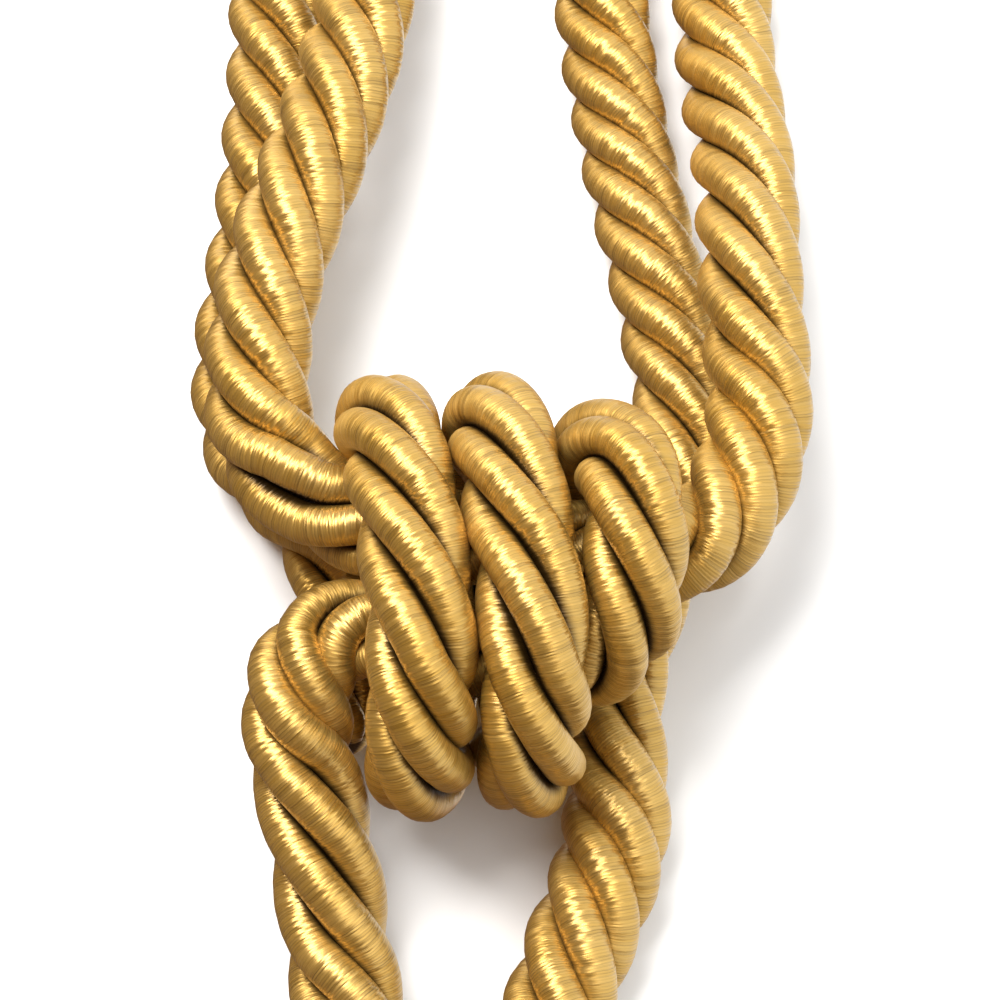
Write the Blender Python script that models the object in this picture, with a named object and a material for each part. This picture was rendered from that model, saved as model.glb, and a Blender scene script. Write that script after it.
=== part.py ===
"""Curtain tieback of thick twisted rope: two hooking loops bound by a three-turn knot.

Metres, +Z up. The rope lies on the plane z = 0, and the origin is the middle of the
underside of the whole. X runs across the tieback, +Y runs from the knot towards the two
hooking loops, and the two tails run towards -Y, where they join in a plain loop.
One closed solid: a tube that follows the whole rope.
"""
import math

import bmesh
import bpy
import numpy as np

# ---- driving dimensions (metres) ------------------------------------------------
ROPE_DIAMETER = 0.019        # the tube; the yarn crests stand 0.5 mm proud of it
KNOT_AT = (0.0, -0.0833)     # the knot's own origin, in the part's frame
POINT_STEP_MIN = 0.0048      # nearest points, round the tightest bends
POINT_STEP_MAX = 0.016       # farthest points, along straight runs
TUBE_SIDES_HALF = 4          # bevel resolution, 12 sides
MILLIMETRE = ROPE_DIAMETER / 19.0

# ---- route: x, y, z in millimetres from the knot's origin for a 19 mm rope, then the
# share of its full thickness that the rope keeps where it is squeezed ---------------
REAR_LEFT_ARM = [
    (-30.4, -52, 8, 0.80), (-30.5, -42, 8.3, 0.81), (-30.6, -30, 8.8, 0.83),
    (-31.3, -17, 9.3, 0.87), (-34.3, -9.5, 9.3, 0.91), (-38.5, -3.5, 9.3, 0.97),
    (-44, 3, 9.3, 1), (-48, 13, 9.3, 1), (-48.5, 27, 9.3, 1), (-46.5, 45, 9.3, 1),
    (-44.5, 70, 9.3, 1), (-44, 105, 9.3, 1),
]
LEFT_LOOP = [
    (-48, 150, 9.3, 1), (-52, 200, 9.3, 1), (-57, 255, 9.3, 1), (-60, 300, 9.3, 1),
    (-58.5, 318, 9.3, 1), (-51, 332, 9.3, 1), (-41, 337, 9.3, 1), (-31, 332, 9.3, 1),
    (-23.5, 318, 9.3, 1), (-22, 300, 9.3, 1), (-25, 255, 9.3, 1), (-26, 200, 10, 1),
    (-24.5, 150, 14, 1), (-25, 110, 20, 1),
]
FRONT_LEFT_ARM = [
    (-28.5, 82, 25, 1), (-35, 57, 29, 1), (-42, 34, 29.5, 1), (-44.5, 15, 29.5, 1),
    (-42.5, -1, 29.5, 1), (-35, -11, 30, 0.98), (-24, -17.5, 30, 0.92),
]
UPPER_CORE = [
    (-8, -20, 29.5, 0.90), (8, -21.5, 29.5, 0.90), (21, -22.5, 29, 0.92),
    (33.2, -21.8, 29, 0.97),
]
FRONT_RIGHT_ARM = [
    (42.2, -12, 29, 1), (47, 2.5, 29, 1), (47, 20, 28, 1), (46.5, 38, 26, 1),
    (46.5, 57, 21, 1), (45, 77, 14, 1), (44, 97, 9.5, 1),
]
RIGHT_LOOP = [
    (46, 150, 9.3, 1), (50, 200, 9.3, 1), (55, 255, 9.3, 1), (60, 300, 9.3, 1),
    (58.5, 318, 9.3, 1), (51, 332, 9.3, 1), (41, 337, 9.3, 1), (31, 332, 9.3, 1),
    (23.5, 318, 9.3, 1), (22, 300, 9.3, 1), (22, 255, 9.3, 1), (20, 200, 9.3, 1),
    (18.5, 150, 9.3, 0.98), (20, 102, 9.3, 0.95),
]
REAR_RIGHT_ARM = [
    (24.3, 70, 9.3, 0.94), (29.8, 42, 9.3, 0.94), (33.6, 21, 9.3, 0.94),
    (34.6, 3, 9.3, 0.91), (31.4, -13, 9, 0.84), (26, -27, 8.6, 0.81),
    (22.6, -38.5, 8.8, 0.83),
]
TAILS = [
    (21, -51, 9.3, 0.92), (20.8, -68, 9.3, 1), (15.7, -85, 9.3, 1), (9.8, -103, 9.3, 1),
    (9, -125, 9.3, 1), (13, -146, 9.3, 1), (4, -164, 9.3, 1), (-12, -171, 9.3, 1),
    (-28, -164, 9.3, 1), (-35, -147, 9.3, 1), (-29.5, -125, 9.3, 1),
    (-26, -108, 9.3, 1), (-28.6, -90, 12, 1), (-31, -76, 17, 1), (-34.3, -62, 22.5, 1),
    (-35.8, -54, 26.8, 1), (-35.6, -47.6, 29.2, 0.98), (-32.6, -40.8, 30, 0.95),
    (-27, -37.6, 30, 0.93), (-18.5, -38.5, 30, 0.91),
]
LOWER_CORE = [(-8, -41.5, 29.5, 0.90), (5, -42.5, 29.5, 0.90)]
THIRD_WRAP = [
    (15.5, -44, 32, 0.88), (22.5, -40, 42, 0.90), (23.5, -30, 49, 0.93),
    (22.5, -16, 49.5, 0.93), (19.5, -8.5, 42.5, 0.92), (17, -4.5, 32, 0.88),
    (16.5, -7, 19, 0.86), (13.8, -15, 10, 0.82), (9, -28, 9.2, 0.80),
    (4.3, -42, 9.5, 0.82), (3.2, -54, 14, 0.89),
]
SECOND_WRAP = [
    (5, -61.5, 26, 0.95), (6, -59.5, 40, 0.96), (6, -48, 50, 0.97), (4, -30, 52, 0.97),
    (1, -13, 49.5, 0.97), (-0.8, -2, 40, 0.95), (-1.5, 0.5, 28, 0.93),
    (-1.5, -7, 15, 0.86), (-5, -20, 9.2, 0.81), (-10.5, -35, 9.2, 0.81),
    (-14, -50, 10, 0.87),
]
FIRST_WRAP = [
    (-14.5, -58, 18, 0.95), (-14, -62.5, 30, 0.97), (-13.5, -58, 43, 0.97),
    (-13.5, -45, 51, 0.98), (-15.5, -28, 52.5, 0.98), (-18.5, -12, 49, 0.97),
    (-20.5, -1.5, 39, 0.95), (-20.5, 1, 27, 0.93), (-19.3, -4.5, 17, 0.82),
    (-17.5, -8.2, 12, 0.75),
]
ROUTE = (REAR_LEFT_ARM + LEFT_LOOP + FRONT_LEFT_ARM + UPPER_CORE + FRONT_RIGHT_ARM
         + RIGHT_LOOP + REAR_RIGHT_ARM + TAILS + LOWER_CORE + THIRD_WRAP + SECOND_WRAP
         + FIRST_WRAP)


def smooth(points):
    """Natural cubic through the points, on a centripetal parameter, finely sampled."""
    gaps = np.sqrt(np.linalg.norm(np.diff(points[:, :3], axis=0), axis=1))
    t = np.concatenate([[0.0], np.cumsum(gaps)])
    count = len(t)
    system = np.eye(count)
    right = np.zeros((count, points.shape[1]))
    slope = np.diff(points, axis=0) / gaps[:, None]
    inner = np.arange(1, count - 1)
    system[inner, inner - 1] = gaps[:-1]
    system[inner, inner] = 2.0 * (gaps[:-1] + gaps[1:])
    system[inner, inner + 1] = gaps[1:]
    right[inner] = 6.0 * (slope[1:] - slope[:-1])
    second = np.linalg.solve(system, right)
    u = np.linspace(0.0, t[-1], 6000)
    k = np.clip(np.searchsorted(t, u, side="right") - 1, 0, count - 2)
    h = gaps[k][:, None]
    a = (t[k + 1] - u)[:, None]
    b = (u - t[k])[:, None]
    bends = (second[k] * a ** 3 + second[k + 1] * b ** 3) / (6.0 * h)
    low = (points[k] / h - second[k] * h / 6.0) * a
    high = (points[k + 1] / h - second[k + 1] * h / 6.0) * b
    return bends + low + high


def respace(fine):
    """Points closer round tight bends and farther apart along straight runs."""
    arc = np.concatenate([[0.0], np.cumsum(np.linalg.norm(np.diff(fine[:, :3], axis=0), axis=1))])
    even = np.linspace(0.0, arc[-1], 3000)
    q = np.stack([np.interp(even, arc, fine[:, c]) for c in range(fine.shape[1])], axis=1)
    along = np.gradient(q[:, :3], even, axis=0)
    bend = np.linalg.norm(np.gradient(along, even, axis=0), axis=1)
    bend = np.convolve(np.pad(bend, 8, mode="edge"), np.ones(17) / 17.0, mode="valid")
    step = np.clip(0.42 / np.maximum(bend, 1e-3), POINT_STEP_MIN, POINT_STEP_MAX)
    shares = np.concatenate([[0.0], np.cumsum((even[1] - even[0]) / (0.5 * (step[1:] + step[:-1])))])
    stops = np.linspace(0.0, shares[-1], int(math.ceil(shares[-1])) + 1)
    where = np.interp(stops, shares, even)
    return np.stack([np.interp(where, even, q[:, c]) for c in range(q.shape[1])], axis=1)


def clear_scene():
    """Start from an empty scene."""
    for item in list(bpy.data.objects):
        bpy.data.objects.remove(item, do_unlink=True)


def rope_material():
    """Gold yarn."""
    material = bpy.data.materials.new("gold_yarn")
    material.use_nodes = True
    shader = material.node_tree.nodes["Principled BSDF"]
    shader.inputs["Base Color"].default_value = (0.60, 0.36, 0.09, 1.0)
    shader.inputs["Roughness"].default_value = 0.42
    return material


def rest_flat(mesh):
    """Cut the underside level with the plane the rope lies on, and close the cut."""
    work = bmesh.new()
    work.from_mesh(mesh)
    bmesh.ops.remove_doubles(work, verts=work.verts[:], dist=1e-7)
    everything = work.verts[:] + work.edges[:] + work.faces[:]
    cut = bmesh.ops.bisect_plane(work, geom=everything, dist=1e-7, plane_co=(0, 0, 0),
                                 plane_no=(0, 0, -1), clear_outer=True)
    edges = [item for item in cut["geom_cut"] if isinstance(item, bmesh.types.BMEdge)]
    edges = [edge for edge in edges if len(edge.link_faces) == 1]
    bmesh.ops.holes_fill(work, edges=edges, sides=0)
    bmesh.ops.triangulate(work, faces=work.faces[:])
    bmesh.ops.recalc_face_normals(work, faces=work.faces[:])
    work.to_mesh(mesh)
    work.free()


def tieback_rope():
    """The whole rope as one tube along its route, from one tucked end to the other."""
    route = np.array(ROUTE, dtype=float) * np.array([MILLIMETRE] * 3 + [1.0])
    points = respace(smooth(route + np.array([KNOT_AT[0], KNOT_AT[1], 0.0, 0.0])))
    curve = bpy.data.curves.new("tieback_rope_curve", "CURVE")
    curve.dimensions = "3D"
    curve.bevel_depth = ROPE_DIAMETER / 2.0
    curve.bevel_resolution = TUBE_SIDES_HALF
    curve.use_fill_caps = True
    curve.twist_mode = "MINIMUM"
    spline = curve.splines.new("POLY")
    spline.points.add(len(points) - 1)
    ones = np.ones((len(points), 1))
    spline.points.foreach_set("co", np.hstack([points[:, :3], ones]).ravel())
    spline.points.foreach_set("radius", points[:, 3])
    carrier = bpy.data.objects.new("tieback_rope_curve", curve)
    bpy.context.scene.collection.objects.link(carrier)
    bpy.context.view_layer.update()
    mesh = bpy.data.meshes.new_from_object(carrier.evaluated_get(bpy.context.evaluated_depsgraph_get()))
    bpy.data.objects.remove(carrier, do_unlink=True)
    mesh.name = "tieback_rope"
    rest_flat(mesh)
    rope = bpy.data.objects.new("tieback_rope", mesh)
    bpy.context.scene.collection.objects.link(rope)
    mesh.materials.clear()
    mesh.materials.append(rope_material())
    return rope


def main():
    """Build the tieback."""
    clear_scene()
    tieback_rope()


main()
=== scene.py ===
"""Twisted rope curtain tieback: four strands of wound yarn, laid up in a knotted rope.

Metres, +Z up, in the part's own frame. The rope's route runs from one end tucked in the
knot, round the left hooking loop, through the knot, round the right hooking loop, down the
two tails and back into the three wraps of the knot.
"""
import math

import bpy
import numpy as np
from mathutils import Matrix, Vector


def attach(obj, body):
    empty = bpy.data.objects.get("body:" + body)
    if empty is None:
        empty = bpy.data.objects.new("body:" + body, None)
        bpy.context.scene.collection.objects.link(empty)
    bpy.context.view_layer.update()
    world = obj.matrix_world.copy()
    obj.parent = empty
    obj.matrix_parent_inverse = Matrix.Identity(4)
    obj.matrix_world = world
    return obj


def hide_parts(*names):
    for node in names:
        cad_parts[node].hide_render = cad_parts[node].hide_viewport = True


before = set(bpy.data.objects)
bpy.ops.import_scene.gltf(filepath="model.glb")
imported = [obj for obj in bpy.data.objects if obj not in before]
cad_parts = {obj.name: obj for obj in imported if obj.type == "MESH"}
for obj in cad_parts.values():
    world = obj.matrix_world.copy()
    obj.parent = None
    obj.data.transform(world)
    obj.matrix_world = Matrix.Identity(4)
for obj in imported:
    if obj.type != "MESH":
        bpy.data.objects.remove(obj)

bl_info = {
    "name": "Rope curtain tieback",
    "version": (1, 0, 0),
    "blender": (4, 5, 0),
    "location": "3D View > Sidebar > Tieback",
    "description": "A knotted curtain tieback of twisted, yarn-covered rope",
    "category": "Add Mesh",
}

KNOT_AT = np.array([0.0, -0.0833, 0.0])       # the knot's own origin, in the part's frame
SOLID_DIAMETER = 0.019                        # the tube that the strands stand proud of
MILLIMETRE = 0.001

# ---- the rope's route: x, y, z in millimetres from the knot's origin, then the share of
# ---- its full thickness that the rope keeps where it is squeezed
REAR_LEFT_ARM = [
    (-30.4, -52, 8, 0.80), (-30.5, -42, 8.3, 0.81), (-30.6, -30, 8.8, 0.83),
    (-31.3, -17, 9.3, 0.87), (-34.3, -9.5, 9.3, 0.91), (-38.5, -3.5, 9.3, 0.97),
    (-44, 3, 9.3, 1), (-48, 13, 9.3, 1), (-48.5, 27, 9.3, 1), (-46.5, 45, 9.3, 1),
    (-44.5, 70, 9.3, 1), (-44, 105, 9.3, 1),
]
LEFT_LOOP = [
    (-48, 150, 9.3, 1), (-52, 200, 9.3, 1), (-57, 255, 9.3, 1), (-60, 300, 9.3, 1),
    (-58.5, 318, 9.3, 1), (-51, 332, 9.3, 1), (-41, 337, 9.3, 1), (-31, 332, 9.3, 1),
    (-23.5, 318, 9.3, 1), (-22, 300, 9.3, 1), (-25, 255, 9.3, 1), (-26, 200, 10, 1),
    (-24.5, 150, 14, 1), (-25, 110, 20, 1),
]
FRONT_LEFT_ARM = [
    (-28.5, 82, 25, 1), (-35, 57, 29, 1), (-42, 34, 29.5, 1), (-44.5, 15, 29.5, 1),
    (-42.5, -1, 29.5, 1), (-35, -11, 30, 0.98), (-24, -17.5, 30, 0.92),
]
UPPER_CORE = [
    (-8, -20, 29.5, 0.90), (8, -21.5, 29.5, 0.90), (21, -22.5, 29, 0.92),
    (33.2, -21.8, 29, 0.97),
]
FRONT_RIGHT_ARM = [
    (42.2, -12, 29, 1), (47, 2.5, 29, 1), (47, 20, 28, 1), (46.5, 38, 26, 1),
    (46.5, 57, 21, 1), (45, 77, 14, 1), (44, 97, 9.5, 1),
]
RIGHT_LOOP = [
    (46, 150, 9.3, 1), (50, 200, 9.3, 1), (55, 255, 9.3, 1), (60, 300, 9.3, 1),
    (58.5, 318, 9.3, 1), (51, 332, 9.3, 1), (41, 337, 9.3, 1), (31, 332, 9.3, 1),
    (23.5, 318, 9.3, 1), (22, 300, 9.3, 1), (22, 255, 9.3, 1), (20, 200, 9.3, 1),
    (18.5, 150, 9.3, 0.98), (20, 102, 9.3, 0.95),
]
REAR_RIGHT_ARM = [
    (24.3, 70, 9.3, 0.94), (29.8, 42, 9.3, 0.94), (33.6, 21, 9.3, 0.94),
    (34.6, 3, 9.3, 0.91), (31.4, -13, 9, 0.84), (26, -27, 8.6, 0.81),
    (22.6, -38.5, 8.8, 0.83),
]
TAILS = [
    (21, -51, 9.3, 0.92), (20.8, -68, 9.3, 1), (15.7, -85, 9.3, 1), (9.8, -103, 9.3, 1),
    (9, -125, 9.3, 1), (13, -146, 9.3, 1), (4, -164, 9.3, 1), (-12, -171, 9.3, 1),
    (-28, -164, 9.3, 1), (-35, -147, 9.3, 1), (-29.5, -125, 9.3, 1),
    (-26, -108, 9.3, 1), (-28.6, -90, 12, 1), (-31, -76, 17, 1), (-34.3, -62, 22.5, 1),
    (-35.8, -54, 26.8, 1), (-35.6, -47.6, 29.2, 0.98), (-32.6, -40.8, 30, 0.95),
    (-27, -37.6, 30, 0.93), (-18.5, -38.5, 30, 0.91),
]
LOWER_CORE = [(-8, -41.5, 29.5, 0.90), (5, -42.5, 29.5, 0.90)]
THIRD_WRAP = [
    (15.5, -44, 32, 0.88), (22.5, -40, 42, 0.90), (23.5, -30, 49, 0.93),
    (22.5, -16, 49.5, 0.93), (19.5, -8.5, 42.5, 0.92), (17, -4.5, 32, 0.88),
    (16.5, -7, 19, 0.86), (13.8, -15, 10, 0.82), (9, -28, 9.2, 0.80),
    (4.3, -42, 9.5, 0.82), (3.2, -54, 14, 0.89),
]
SECOND_WRAP = [
    (5, -61.5, 26, 0.95), (6, -59.5, 40, 0.96), (6, -48, 50, 0.97), (4, -30, 52, 0.97),
    (1, -13, 49.5, 0.97), (-0.8, -2, 40, 0.95), (-1.5, 0.5, 28, 0.93),
    (-1.5, -7, 15, 0.86), (-5, -20, 9.2, 0.81), (-10.5, -35, 9.2, 0.81),
    (-14, -50, 10, 0.87),
]
FIRST_WRAP = [
    (-14.5, -58, 18, 0.95), (-14, -62.5, 30, 0.97), (-13.5, -58, 43, 0.97),
    (-13.5, -45, 51, 0.98), (-15.5, -28, 52.5, 0.98), (-18.5, -12, 49, 0.97),
    (-20.5, -1.5, 39, 0.95), (-20.5, 1, 27, 0.93), (-19.3, -4.5, 17, 0.82),
    (-17.5, -8.2, 12, 0.75),
]
STRETCHES = [REAR_LEFT_ARM, LEFT_LOOP, FRONT_LEFT_ARM, UPPER_CORE, FRONT_RIGHT_ARM,
             RIGHT_LOOP, REAR_RIGHT_ARM, TAILS, LOWER_CORE, THIRD_WRAP, SECOND_WRAP,
             FIRST_WRAP]
# each stretch's lay length over the usual one
LAY_SHARES = [1.0, 1.0, 1.0, 1.1, 1.0, 1.0, 1.0, 1.1, 1.1, 1.22, 1.22, 1.22]
# how much more the strands have turned than that: millimetres along the rope, then turns
TURNS_GAINED = [
    (0, 0.08), (85, 0.08), (120, 0.05), (150, 0.04), (625, -0.11), (760, -0.115),
    (771, -0.23), (795, -0.27), (837, -0.13), (860, -0.02), (880, 0.03), (910, -0.03),
    (950, -0.12), (1462, -0.15), (1499, -0.05), (1537, -0.005), (1623, -0.095), (1647, 0.015),
    (1667, 0.06), (1844, 0.02), (1879, -0.07), (1889, 0.0), (1898, 0.10), (1907, 0.10),
    (1957, -0.01), (1982, 0.03), (2107, 0.0), (2120, 0.04), (2140, -0.02), (2155, -0.03),
    (2280, -0.01), (2297, 0.08), (2325, 0.06), (2367, 0.09),
]


# ---- sizes and colours -----------------------------------------------------------
class TIEBACK_PG_rope(bpy.types.PropertyGroup):
    """Sizes of the rope and of the yarn wound on its strands."""

    diameter: bpy.props.FloatProperty(
        name="Rope diameter", description="Across the crests of the strands",
        default=0.020, min=0.01, max=0.03, subtype="DISTANCE", unit="LENGTH")
    pitch: bpy.props.FloatProperty(
        name="Lay length", description="Length of rope in which a strand goes once round",
        default=0.053, min=0.03, max=0.1, subtype="DISTANCE", unit="LENGTH")
    strands: bpy.props.IntProperty(
        name="Strands", description="Strands twisted together", default=4, min=3, max=5)
    press: bpy.props.FloatProperty(
        name="Press", description="How much fatter than just touching the strands are",
        default=1.18, min=1.0, max=1.3, subtype="FACTOR")
    thread: bpy.props.FloatProperty(
        name="Thread spacing", description="From one wound thread to the next",
        default=0.00048, min=0.0002, max=0.002, precision=5, subtype="DISTANCE", unit="LENGTH")


class TIEBACK_PG_yarn(bpy.types.PropertyGroup):
    """Colours of the yarn, and of the shade painted deep between its strands and threads."""

    gold: bpy.props.FloatVectorProperty(
        name="Gold", description="The yarn's main colour", size=3, subtype="COLOR",
        default=(0.50, 0.282, 0.040), min=0.0, max=1.0)
    straw: bpy.props.FloatVectorProperty(
        name="Straw", description="The paler threads", size=3, subtype="COLOR",
        default=(0.64, 0.41, 0.115), min=0.0, max=1.0)
    # painted shade: this colour darkens the creases deep between the strands and the places where
    # threads meet; it is also the dull threads' own darker colour
    shade_and_dull_bronze: bpy.props.FloatVectorProperty(
        name="Bronze", description="The yarn deep between the strands", size=3, subtype="COLOR",
        default=(0.050, 0.024, 0.004), min=0.0, max=1.0)


class TIEBACK_PG_stage(bpy.types.PropertyGroup):
    """The floor, the light and the camera."""

    floor: bpy.props.FloatVectorProperty(
        name="Floor", description="The floor's colour", size=3, subtype="COLOR",
        default=(0.90, 0.90, 0.905), min=0.0, max=1.0)
    elevation: bpy.props.FloatProperty(
        name="Camera elevation", description="Above the horizon, from the tails' side",
        default=math.radians(68), subtype="ANGLE", unit="ROTATION")
    distance: bpy.props.FloatProperty(
        name="Camera distance", description="From the knot's origin",
        default=0.65, min=0.2, max=3.0, subtype="DISTANCE", unit="LENGTH")
    width: bpy.props.FloatProperty(
        name="View width", description="Width of floor in view at the knot's origin",
        default=0.19, min=0.05, max=1.0, subtype="DISTANCE", unit="LENGTH")
    key: bpy.props.FloatProperty(
        name="Key light", description="Power of the lamp up on the left",
        default=14.0, min=0.0, max=100.0, unit="POWER")
    sky: bpy.props.FloatProperty(
        name="Sky", description="Strength of the sky's light on its bright side",
        default=1.42, min=0.0, max=5.0)
    sky_dim: bpy.props.FloatProperty(
        name="Dim sky", description="Strength of the sky's light on its dim side",
        default=0.19, min=0.0, max=5.0)


# ---- curves ----------------------------------------------------------------------
CURVE_SAMPLES = 12000


def smooth_curve(points):
    """Natural cubic through the points, finely sampled.

    The parameter grows by the square root of the distance from point to point. Between two
    points the curve is the cubic whose second derivative runs straight from one point's value
    to the next, and those values come from one linear system.
    """
    gaps = np.sqrt(np.linalg.norm(np.diff(points[:, :3], axis=0), axis=1))
    t = np.concatenate([[0.0], np.cumsum(gaps)])
    count = len(t)
    system = np.eye(count)
    right = np.zeros((count, points.shape[1]))
    slope = np.diff(points, axis=0) / gaps[:, None]
    inner = np.arange(1, count - 1)
    system[inner, inner - 1] = gaps[:-1]
    system[inner, inner] = 2.0 * (gaps[:-1] + gaps[1:])
    system[inner, inner + 1] = gaps[1:]
    right[inner] = 6.0 * (slope[1:] - slope[:-1])
    second = np.linalg.solve(system, right)
    u = np.linspace(0.0, t[-1], CURVE_SAMPLES)
    k = np.clip(np.searchsorted(t, u, side="right") - 1, 0, count - 2)
    h = gaps[k][:, None]
    a = (t[k + 1] - u)[:, None]
    b = (u - t[k])[:, None]
    bends = (second[k] * a ** 3 + second[k + 1] * b ** 3) / (6.0 * h)
    low = (points[k] / h - second[k] * h / 6.0) * a
    high = (points[k + 1] / h - second[k + 1] * h / 6.0) * b
    return bends + low + high


def arc_length(points):
    """Distance along a line of points, from its first."""
    return np.concatenate([[0.0], np.cumsum(np.linalg.norm(np.diff(points, axis=0), axis=1))])


def columns_at(where, along, columns):
    """Each column, given at the distances along, read at the distances where."""
    return np.stack([np.interp(where, along, column) for column in columns.T], axis=1)


def carried_frame(points):
    """Two normals that follow the line with as little turning as they can.

    Each normal is the one before, less its part along the new tangent, made unit length.
    """
    tangent = np.gradient(points, axis=0)
    tangent /= np.linalg.norm(tangent, axis=1)[:, None]
    normal = np.empty_like(points)
    last = np.array([0.0, 0.0, 1.0])
    for i, t in enumerate(tangent):
        last = last - t * (last @ t)
        last /= np.linalg.norm(last)
        normal[i] = last
    return normal, np.cross(tangent, normal)


def add_mesh_object(name, vertices, faces):
    """A new mesh object at the origin, smooth shaded."""
    mesh = bpy.data.meshes.new(name)
    mesh.from_pydata(vertices.tolist(), [], faces)
    mesh.update()
    mesh.shade_smooth()
    made = bpy.data.objects.new(name, mesh)
    bpy.context.scene.collection.objects.link(made)
    return made


# ---- the rope --------------------------------------------------------------------
RING_SIDES = 16
RING_STEP_KNOT = 0.00125      # rings this close in the knot, the tails and the arms near them
RING_STEP_LOOPS = 0.0030      # and this far apart in the loops
LOOPS_FROM = 0.06             # the y at which the loops begin
END_AREAS = [0.15, 0.525, 0.9]  # a strand's area in the first rings, as a share of the full
LIFT = 0.0008                 # the line stands this much over the solid's, to clear z = 0
# waves in a strand's thickness: height as a share, radians a metre, and radians from one
# strand to the next
WANDER = [(0.012, 210.0, 2.1), (0.010, 83.0, 4.0)]
SETTLING_ROUNDS = 40


def whole_route():
    """All the stretches as one array of x, y, z in millimetres and the thickness share."""
    return np.array(sum(STRETCHES, []), dtype=float)


def rope_line(sizes):
    """Centreline of the rope at each ring: points, thickness share and distance along."""
    route = whole_route()
    route[:, :3] = route[:, :3] * MILLIMETRE + KNOT_AT
    route[:, 2] += (sizes.diameter - SOLID_DIAMETER) / 2.0 + LIFT
    fine = smooth_curve(route)
    along = arc_length(fine[:, :3])
    step = np.where(fine[:, 1] < LOOPS_FROM, RING_STEP_KNOT, RING_STEP_LOOPS)
    shares = np.concatenate([[0.0], np.cumsum(np.diff(along) / step[1:])])
    stops = np.linspace(0.0, shares[-1], int(shares[-1]) + 1)
    where = np.interp(stops, shares, along)
    line = columns_at(where, along, fine)
    return line[:, :3], line[:, 3], where


def strand_turn(where, pitch):
    """Angle a strand has turned through at each distance along the rope.

    It grows by two pi for each lay length, which changes evenly from one stretch's middle to
    the next; the turns gained on that change evenly from one stated place to the next.
    """
    counts = np.array([len(stretch) for stretch in STRETCHES])
    middle = (np.cumsum(counts) - 0.5 * counts) / counts.sum()
    along = arc_length(whole_route()[:, :3])
    place = np.interp(where / where[-1], along / along[-1], np.linspace(0.0, 1.0, len(along)))
    lay = np.interp(place, middle, LAY_SHARES) * pitch
    turned = np.concatenate([[0.0], np.cumsum(np.diff(where) / lay[1:])])
    places, gained = np.array(TURNS_GAINED).T
    return 2.0 * math.pi * (turned + np.interp(where / MILLIMETRE, places, gained))


def strand_sizes(sizes):
    """Strand's diameter and its distance from the rope's centre, for strands that touch.

    Two neighbours' centres are 2 r sin(pi/n) apart across the rope, and that times the cosine
    of the lay angle square to the strands; r is (rope diameter - strand diameter) / 2. The two
    depend on each other, so they are worked out in turn until they settle.
    """
    ring = sizes.diameter / 3.0
    for _ in range(SETTLING_ROUNDS):
        lean = math.atan(2.0 * math.pi * ring / sizes.pitch)
        thick = 2.0 * ring * math.sin(math.pi / sizes.strands) * math.cos(lean) * sizes.press
        ring = (sizes.diameter - thick) / 2.0
    return thick, ring


def strand_surface(centre, outward, radius):
    """Round tube on a centreline that winds round the rope.

    A ring's point at angle a is centre - radius (cos a * outward + sin a * sideways), where
    sideways is square to both the strand and outward, so the first point faces the rope's heart.
    """
    along = np.gradient(centre, axis=0)
    along /= np.linalg.norm(along, axis=1)[:, None]
    out = outward - along * np.sum(outward * along, axis=1)[:, None]
    out /= np.linalg.norm(out, axis=1)[:, None]
    side = np.cross(along, out)
    angle = np.linspace(0.0, 2.0 * math.pi, RING_SIDES, endpoint=False)
    cosine, sine = np.cos(angle)[None, :, None], np.sin(angle)[None, :, None]
    spoke = cosine * out[:, None, :] + sine * side[:, None, :]
    return centre[:, None, :] - radius[:, None, None] * spoke, arc_length(centre)


def tube_faces(rings, first):
    """Quads between rings of RING_SIDES points, and one many-sided face at each end."""
    index = np.arange(rings * RING_SIDES).reshape(rings, RING_SIDES) + first
    after = np.roll(index, -1, axis=1)
    quads = np.stack([index[:-1], after[:-1], after[1:], index[1:]], axis=-1).reshape(-1, 4)
    return quads.tolist() + [index[0][::-1].tolist(), index[-1].tolist()]


def build_rope(sizes, material):
    """Strands wound round the centreline.

    Strand k of n stands at minus the strand turn plus 2 pi k / n, from the carried normal.
    Its radius is a sum of sines over the distance along the rope, drawn in at its two ends.
    """
    line, share, where = rope_line(sizes)
    normal, across = carried_frame(line)
    thick, ring = strand_sizes(sizes)
    turn = -strand_turn(where, sizes.pitch)
    rings = len(line)
    taper = np.ones(rings)
    taper[:len(END_AREAS)] = np.sqrt(END_AREAS)
    taper[-len(END_AREAS):] = taper[:len(END_AREAS)][::-1]
    vertices = []
    faces = []
    along_uv = []
    for k in range(sizes.strands):
        phase = turn + 2.0 * math.pi * k / sizes.strands
        outward = np.cos(phase)[:, None] * normal + np.sin(phase)[:, None] * across
        centre = line + outward * (ring * share)[:, None]
        wander = 1.0 + sum(height * np.sin(where * rate + start * k)
                           for height, rate, start in WANDER)
        radius = thick / 2.0 * share * wander * taper
        surface, length = strand_surface(centre, outward, radius)
        faces += tube_faces(rings, k * rings * RING_SIDES)
        vertices.append(surface.reshape(-1, 3))
        along_uv.append(length)
    rope = add_mesh_object("tieback_rope_yarn", np.concatenate(vertices), faces)
    paint_yarn_map(rope.data, rings, along_uv)
    rope.data.materials.append(material)
    return rope, line


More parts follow.
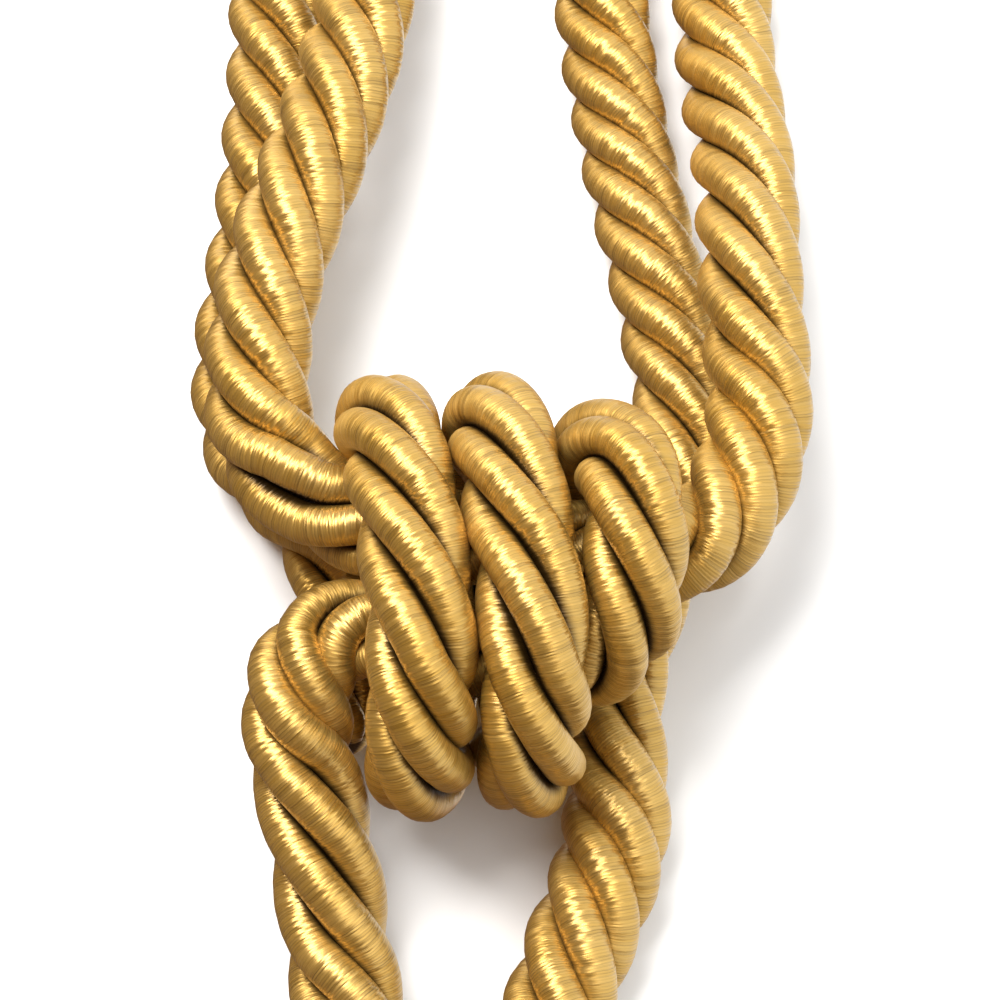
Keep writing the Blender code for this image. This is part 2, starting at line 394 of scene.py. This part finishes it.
def paint_yarn_map(mesh, rings, lengths):
    """UV map: u is the distance along the strand in metres, v the turns round it.

    The point attribute inward is 0 on the rope's outside and 1 at the rope's heart; the material
    paints shade into the creases by it.
    """
    corners = np.empty(len(mesh.loops), dtype=np.int64)
    mesh.loops.foreach_get("vertex_index", corners)
    ring = (corners // RING_SIDES) % rings
    strand = corners // (RING_SIDES * rings)
    side = corners % RING_SIDES
    v = side / RING_SIDES
    starts = np.empty(len(mesh.polygons), dtype=np.int64)
    totals = np.empty(len(mesh.polygons), dtype=np.int64)
    mesh.polygons.foreach_get("loop_start", starts)
    mesh.polygons.foreach_get("loop_total", totals)
    four = starts[totals == 4]
    corner_sides = side[four[:, None] + np.arange(4)[None, :]]
    seam = (corner_sides.max(axis=1) == RING_SIDES - 1) & (corner_sides.min(axis=1) == 0)
    wrapped = four[seam][:, None] + np.arange(4)[None, :]
    v[wrapped[side[wrapped] == 0]] = 1.0
    u = np.stack(lengths)[strand, ring]
    layer = mesh.uv_layers.new(name="thread")
    layer.data.foreach_set("uv", np.stack([u, v], axis=1).ravel())
    turns = (np.arange(len(mesh.vertices)) % RING_SIDES) / RING_SIDES
    inward = 0.5 + 0.5 * np.cos(2.0 * math.pi * turns)
    mesh.attributes.new("inward", "FLOAT", "POINT").data.foreach_set("value", inward)


# ---- the yarn's material ---------------------------------------------------------
WAVER = (120.0, 1.6)          # steps to the metre of the noise that bends the threads, and how
                              # many threads wide the bending is
CROWD = (0.9, 0.9)            # rate of the noise that crowds the threads, and its width in threads
TILT_RATE = 0.37              # rate of the smooth noise in the slope round the strand
RIDGE_TILT = 0.07             # slope of a thread's ridge, as half of the tangent
THREAD_LEAN = 0.05            # spread of single threads' slope along the strand
FILAMENTS = 2.3               # filaments laid side by side in one thread
FILAMENT_ROLL = 0.17          # spread of single filaments' slope round the strand
TILT_ROLL = 0.03              # spread of that smooth noise
SHADE_OFFSET = 0.37           # keeps a thread's two random numbers apart
STRAW_PATCH = (38.0, 1.2, -0.35)       # steps to the metre of the noise that makes patches of
                              # straw, what it is multiplied by and what is added
STRAW_THREAD = 0.35           # and so much more straw by the thread's own number
GAP_POWER = 4.0               # narrows the painted shade where two threads meet
GAP_SHADE = (0.60, 0.08)       # darkness of that painted shade: by the thread's number, and at least
DULL = (5.0, 0.25)            # power of the thread's number, and darkness of a dull thread
CREASE_SHADE = (0.32, 0.62)         # painted shade in the creases: how far inward a strand starts to darken, and is fully dark
ROUGHNESS = (0.08, 0.38)      # by the thread's number, and at least
SILK = {"Metallic": 0.72, "Anisotropic": 0.75, "Specular IOR Level": 0.6, "Coat Weight": 0.4,
        "Coat Roughness": 0.30}


def node(tree, kind, **settings):
    """A new node with its settings; a setting named i0, i1 and so on fills that input."""
    made = tree.nodes.new(kind)
    for key, value in settings.items():
        if key[0] == "i" and key[1:].isdigit():
            if isinstance(value, bpy.types.NodeSocket):
                tree.links.new(value, made.inputs[int(key[1:])])
            else:
                made.inputs[int(key[1:])].default_value = value
        else:
            setattr(made, key, value)
    return made


def maths(tree, operation, a, b=0.0, c=0.0):
    """One Math node's result."""
    return node(tree, "ShaderNodeMath", operation=operation, i0=a, i1=b, i2=c).outputs[0]


def scaled(tree, value, factor, added):
    """Value times factor, plus added."""
    return maths(tree, "MULTIPLY_ADD", value, factor, added)


def spread(tree, noise, width, around):
    """Noise from 0 to 1 made as wide as width and set around a middle value."""
    return scaled(tree, maths(tree, "SUBTRACT", noise, 0.5), width, around)


def random_for(tree, number):
    """A random value from 0 to 1 for each number."""
    made = node(tree, "ShaderNodeTexWhiteNoise", noise_dimensions="1D")
    tree.links.new(number, made.inputs["W"])
    return made.outputs["Value"]


def noise_along(tree, count, rate, detail):
    """Smooth noise from 0 to 1 with five times rate steps to a thread."""
    made = node(tree, "ShaderNodeTexNoise", noise_dimensions="1D")
    tree.links.new(maths(tree, "MULTIPLY", count, rate), made.inputs["W"])
    made.inputs["Scale"].default_value = 5.0
    made.inputs["Detail"].default_value = detail
    return made.outputs[0]


def noise_patches(tree, scale):
    """Smooth noise from 0 to 1 in the object's own space, with scale steps to the metre."""
    place = node(tree, "ShaderNodeTexCoord").outputs["Object"]
    made = node(tree, "ShaderNodeTexNoise", i0=place)
    made.inputs["Scale"].default_value = scale
    made.inputs["Detail"].default_value = 2.0
    return made.outputs[0]


def mixed(tree, share, a, b):
    """Colour a to colour b by share."""
    made = node(tree, "ShaderNodeMix", data_type="RGBA")
    for key, value in (("Factor", share), ("A", a), ("B", b)):
        socket = [s for s in made.inputs if s.name == key and s.type in ("VALUE", "RGBA")]
        socket = socket[0] if key == "Factor" else socket[-1]
        if isinstance(value, bpy.types.NodeSocket):
            tree.links.new(value, socket)
        else:
            socket.default_value = value
    return [s for s in made.outputs if s.type == "RGBA"][0]


def thread_count(tree, thread):
    """Threads wound so far at each place: whole numbers are where one thread meets the next.

    It is the distance along the strand over the thread spacing, plus the turns round the
    strand, so that the winding is one long helix. Two noises move it, so that the threads
    waver and are unevenly wide.
    """
    uv = node(tree, "ShaderNodeUVMap", uv_map="thread").outputs[0]
    parts = node(tree, "ShaderNodeSeparateXYZ", i0=uv)
    rate, width = WAVER
    waver = maths(tree, "SUBTRACT", noise_patches(tree, rate), 0.5)
    count = maths(tree, "ADD", maths(tree, "DIVIDE", parts.outputs[0], thread), parts.outputs[1])
    count = maths(tree, "ADD", count, maths(tree, "MULTIPLY", waver, width))
    rate, width = CROWD
    return spread(tree, noise_along(tree, count, rate, 0.0), width, count)


def thread_facing(tree, count, lean):
    """The way each thread faces, as a tangent-space normal.

    The surface leans along the strand by a sine of the count, for the ridge across a thread,
    and by the thread's own random lean. Round the strand each filament leans by a random
    amount of its own, and a smooth noise adds to that.
    """
    ridge = maths(tree, "SINE", maths(tree, "MULTIPLY", count, 2.0 * math.pi))
    along = spread(tree, lean, THREAD_LEAN, scaled(tree, ridge, RIDGE_TILT, 0.5))
    filament = maths(tree, "FLOOR", maths(tree, "MULTIPLY", count, FILAMENTS))
    around = spread(tree, random_for(tree, filament), FILAMENT_ROLL, 0.5)
    around = spread(tree, noise_along(tree, count, TILT_RATE, 1.0), TILT_ROLL, around)
    slopes = node(tree, "ShaderNodeCombineXYZ", i0=along, i1=around, i2=1.0)
    facing = node(tree, "ShaderNodeNormalMap", space="TANGENT", uv_map="thread")
    tree.links.new(slopes.outputs[0], facing.inputs["Color"])
    return facing.outputs[0]


def thread_colour(tree, count, own, other, looks):
    """Gold to straw by patches and by thread, with painted shade where threads meet, dull threads
    and painted shade in the creases.

    The painted shade where threads meet is half a cosine of the count plus a half, to a power.
    The painted shade in the creases is a smooth step over how far inward the place is.
    """
    scale, factor, added = STRAW_PATCH
    patches = scaled(tree, noise_patches(tree, scale), factor, added)
    straw = scaled(tree, own, STRAW_THREAD, patches)
    straw = node(tree, "ShaderNodeClamp", i0=straw).outputs[0]
    colour = mixed(tree, straw, (*looks.gold, 1.0), (*looks.straw, 1.0))
    # painted shade where two threads meet, deeper for some threads by their own number
    wave = maths(tree, "COSINE", maths(tree, "MULTIPLY", count, 2.0 * math.pi))
    gap_shade = maths(tree, "POWER", scaled(tree, wave, 0.5, 0.5), GAP_POWER)
    gap_shade = maths(tree, "MULTIPLY", gap_shade, scaled(tree, other, *GAP_SHADE))
    power, darkness = DULL
    dull = maths(tree, "MULTIPLY", maths(tree, "POWER", other, power), darkness)
    # to the shade colour by the painted shade where threads meet, or by a dull thread's own darker
    # colour
    colour = mixed(tree, maths(tree, "MAXIMUM", gap_shade, dull), colour, (*looks.shade_and_dull_bronze, 1.0))
    # painted shade in the creases between the strands: the further inward, the nearer the colour
    # goes to the shade colour
    inward = node(tree, "ShaderNodeAttribute", attribute_name="inward").outputs["Fac"]
    crease_shade = node(tree, "ShaderNodeMapRange", interpolation_type="SMOOTHSTEP",
                  i0=inward, i1=CREASE_SHADE[0], i2=CREASE_SHADE[1])
    return mixed(tree, crease_shade.outputs[0], colour, (*looks.shade_and_dull_bronze, 1.0))


def yarn_material(looks, thread):
    """Silky yarn wound round each strand, each thread with two random numbers of its own."""
    material = bpy.data.materials.new("gold_yarn_wound")
    material.use_nodes = True
    tree = material.node_tree
    shader = tree.nodes["Principled BSDF"]
    count = thread_count(tree, thread)
    number = maths(tree, "FLOOR", count)
    own = random_for(tree, number)
    other = random_for(tree, maths(tree, "ADD", number, SHADE_OFFSET))
    facing = thread_facing(tree, count, other)
    colour = thread_colour(tree, count, own, other, looks)
    grain = node(tree, "ShaderNodeTangent", direction_type="UV_MAP", uv_map="thread")
    for name, socket in (("Base Color", colour), ("Roughness", scaled(tree, own, *ROUGHNESS)),
                         ("Normal", facing), ("Coat Normal", facing),
                         ("Tangent", grain.outputs[0])):
        tree.links.new(socket, shader.inputs[name])
    for name, value in SILK.items():
        shader.inputs[name].default_value = value
    return material


# ---- the stage -------------------------------------------------------------------
SKY_TOWARDS = (0.80, 0.50, 0.33)       # the sky's bright side
SKY_CHANGE = (-0.14, 0.16)             # shares of a direction towards it where the sky stops
                                       # being dim and where it is bright
SKY_TINT = (0.95, 0.985, 1.0, 1.0)     # its colour on the bright side
DIM_TINT = (1.0, 0.62, 0.42, 1.0)      # and on its dim side, as in a warm room
LAMP_PLACE = (-0.28, 0.24, 0.88)       # from the knot's origin
LAMP_SIZE = (0.50, 0.50)
LAMP_TINT = (1.0, 0.985, 0.96)
FLOOR_HALF = 3.0
SENSOR_WIDTH = 36.0                    # millimetres


def make_floor(looks):
    """A wide pale plane at z = 0, which glossy rays don't see."""
    corners = FLOOR_HALF * np.array([(-1, -1, 0), (1, -1, 0), (1, 1, 0), (-1, 1, 0)], dtype=float)
    floor = add_mesh_object("floor", corners, [(0, 1, 2, 3)])
    paint = bpy.data.materials.new("pale_floor")
    paint.use_nodes = True
    shader = paint.node_tree.nodes["Principled BSDF"]
    shader.inputs["Base Color"].default_value = (*looks.floor, 1.0)
    shader.inputs["Roughness"].default_value = 0.7
    shader.inputs["Specular IOR Level"].default_value = 0.2
    floor.data.materials.append(paint)
    floor.visible_glossy = False


def aim(thing, place, target):
    """Put a lamp or a camera at a place, facing a target."""
    thing.location = place
    thing.rotation_euler = (Vector(target) - Vector(place)).to_track_quat("-Z", "Y").to_euler()


def hang_lamp(scene, power):
    """A soft rectangular lamp up on the left, facing the knot."""
    lamp = bpy.data.lights.new("key_lamp", "AREA")
    lamp.shape = "RECTANGLE"
    lamp.size, lamp.size_y = LAMP_SIZE
    lamp.energy = power
    lamp.color = LAMP_TINT
    holder = bpy.data.objects.new("key_lamp", lamp)
    scene.collection.objects.link(holder)
    aim(holder, (KNOT_AT + np.array(LAMP_PLACE)).tolist(), KNOT_AT.tolist())


def make_lights(scene, looks):
    """One soft lamp up on the left, and a sky that is brighter to the right and beyond.

    The sky's strength and colour run smoothly from the dim to the bright side by the share of
    each direction that lies along SKY_TOWARDS.
    """
    hang_lamp(scene, looks.key)
    world = bpy.data.worlds.new("sky")
    world.use_nodes = True
    tree = world.node_tree
    facing = node(tree, "ShaderNodeTexCoord").outputs["Generated"]
    share = node(tree, "ShaderNodeVectorMath", operation="DOT_PRODUCT", i0=facing, i1=SKY_TOWARDS)
    bright = node(tree, "ShaderNodeMapRange", interpolation_type="SMOOTHSTEP",
                  i0=share.outputs["Value"], i1=SKY_CHANGE[0], i2=SKY_CHANGE[1]).outputs[0]
    strength = scaled(tree, bright, looks.sky - looks.sky_dim, looks.sky_dim)
    backdrop = tree.nodes["Background"]
    tree.links.new(mixed(tree, bright, DIM_TINT, SKY_TINT), backdrop.inputs["Color"])
    tree.links.new(strength, backdrop.inputs["Strength"])
    scene.world = world
    scene.view_settings.view_transform = "Standard"


def make_camera(scene, looks):
    """Looks at the knot's origin from over the tails, with the view's width across the frame."""
    lens = bpy.data.cameras.new("camera")
    lens.sensor_width = SENSOR_WIDTH
    lens.lens = SENSOR_WIDTH * looks.distance / looks.width
    lens.clip_start = 0.05
    camera = bpy.data.objects.new("camera", lens)
    scene.collection.objects.link(camera)
    away = np.array([0.0, -math.cos(looks.elevation), math.sin(looks.elevation)]) * looks.distance
    aim(camera, (KNOT_AT + away).tolist(), KNOT_AT.tolist())
    scene.camera = camera


# ---- operators -------------------------------------------------------------------
class TIEBACK_OT_rope(bpy.types.Operator):
    """Make the knotted rope with its yarn-covered strands"""

    bl_idname = "tieback.rope"
    bl_label = "Make the rope"

    def execute(self, context):
        """Build the strands, hand the rope to the frame and hide the imported rope."""
        sizes = context.scene.tieback_rope
        rope, line = build_rope(sizes, yarn_material(context.scene.tieback_yarn, sizes.thread))
        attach(rope, "root")
        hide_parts("tieback_rope")
        return {"FINISHED"}


class TIEBACK_OT_stage(bpy.types.Operator):
    """Make the pale floor, the soft light and the camera"""

    bl_idname = "tieback.stage"
    bl_label = "Make the stage"

    def execute(self, context):
        """Floor, one large lamp up on the left, a sky brighter on one side and the camera."""
        looks = context.scene.tieback_stage
        make_floor(looks)
        make_lights(context.scene, looks)
        make_camera(context.scene, looks)
        return {"FINISHED"}


class TIEBACK_PT_sidebar(bpy.types.Panel):
    """Buttons that make the tieback and its stage"""

    bl_idname = "TIEBACK_PT_sidebar"
    bl_label = "Rope tieback"
    bl_space_type = "VIEW_3D"
    bl_region_type = "UI"
    bl_category = "Tieback"

    def draw(self, context):
        """Each settings group, then its button."""
        layout = self.layout
        for group in ("tieback_rope", "tieback_yarn", "tieback_stage"):
            settings = getattr(context.scene, group)
            box = layout.box()
            for name in type(settings).__annotations__:
                box.prop(settings, name)
        layout.operator(TIEBACK_OT_rope.bl_idname)
        layout.operator(TIEBACK_OT_stage.bl_idname)


CLASSES = (TIEBACK_PG_rope, TIEBACK_PG_yarn, TIEBACK_PG_stage, TIEBACK_OT_rope,
           TIEBACK_OT_stage, TIEBACK_PT_sidebar)


def register():
    """Register the classes and hang the settings on the scene."""
    for cls in CLASSES:
        bpy.utils.register_class(cls)
    bpy.types.Scene.tieback_rope = bpy.props.PointerProperty(type=TIEBACK_PG_rope)
    bpy.types.Scene.tieback_yarn = bpy.props.PointerProperty(type=TIEBACK_PG_yarn)
    bpy.types.Scene.tieback_stage = bpy.props.PointerProperty(type=TIEBACK_PG_stage)


def unregister():
    """Take the settings and the classes away again."""
    del bpy.types.Scene.tieback_stage
    del bpy.types.Scene.tieback_yarn
    del bpy.types.Scene.tieback_rope
    for cls in reversed(CLASSES):
        bpy.utils.unregister_class(cls)


def main():
    """Make everything."""
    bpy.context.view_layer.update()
    register()
    bpy.ops.tieback.rope()
    bpy.ops.tieback.stage()


if __name__ == "__main__":
    main()
